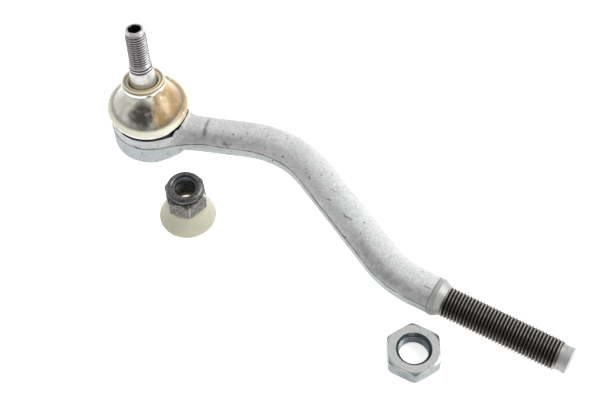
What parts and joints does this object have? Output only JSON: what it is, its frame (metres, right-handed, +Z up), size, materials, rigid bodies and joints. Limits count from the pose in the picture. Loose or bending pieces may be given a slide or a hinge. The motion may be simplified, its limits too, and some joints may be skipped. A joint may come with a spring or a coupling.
{
  "type": "tie rod end",
  "caption": "Forged, double-bent tie rod end with a booted ball joint, a threaded shank, a jam nut for the shank, and a lock nut with a plastic skirt for the stud.",
  "frame": {"origin": "middle of the closing cover's flat outer face, under the ball joint", "axes": "+Z up along the housing's axis, +X along the threaded shank towards its tip, +Y to the left of the shank"},
  "size_m": [0.2368, 0.0781, 0.0639],
  "materials": {
    "forging": "silver coated steel forging, fine grainy surface",
    "stud": "ground and thread-rolled steel",
    "seat": "natural acetal",
    "spring": "spring steel",
    "cover": "pressed steel, zinc plated",
    "seal": "black nitrile rubber",
    "boot": "translucent amber rubber, semi-gloss",
    "clamp_ring": "bright plated spring steel",
    "dark_nut": "phosphated steel, slightly worn",
    "insert": "blue-grey nylon",
    "skirt": "cream polyethylene, slightly translucent",
    "zinc_nut": "bright zinc plating with a blue tint"
  },
  "bodies": {
    "arm": {"forged_arm": "forging", "upper_ball_seat": "seat", "lower_ball_seat": "seat", "preload_spring": "spring", "closing_cover": "cover", "cover_seal_ring": "seal", "nut_skirt": "skirt"},
    "boot_foot": {"dust_boot": "boot", "boot_lower_ring": "clamp_ring"},
    "boot_neck": {"boot_upper_ring": "clamp_ring"},
    "stud": {"ball_stud": "stud"},
    "stud_nut": {"lock_nut": "dark_nut", "nylon_insert": "insert"},
    "shank_nut": {"jam_nut": "zinc_nut"}
  },
  "joints": [
    {"name": "boot_swivel", "type": "hinge", "parent": "arm", "child": "boot_foot", "pos_m": [0, 0, 0.0125], "axis": [0, 0, 1], "continuous": true},
    {"name": "stud_tilt", "type": "hinge", "parent": "boot_foot", "child": "boot_neck", "pos_m": [0, 0, 0.0125], "axis": [-0.7193, -0.6947, 0], "range_deg": [-37, 12.5], "deforming": ["dust_boot"]},
    {"name": "stud_spin", "type": "hinge", "parent": "boot_neck", "child": "stud", "pos_m": [0, 0, 0.0125], "axis": [-0.1492, 0.1545, 0.9767], "continuous": true},
    {"name": "lock_nut_turn", "type": "hinge", "parent": "arm", "child": "stud_nut", "pos_m": [0.0383, -0.0296, 0.017], "axis": [0, 0, 1], "continuous": true},
    {"name": "jam_nut_turn", "type": "hinge", "parent": "arm", "child": "shank_nut", "pos_m": [0.1587, -0.0433, 0.004], "axis": [0, 0, 1], "continuous": true}
  ]
}
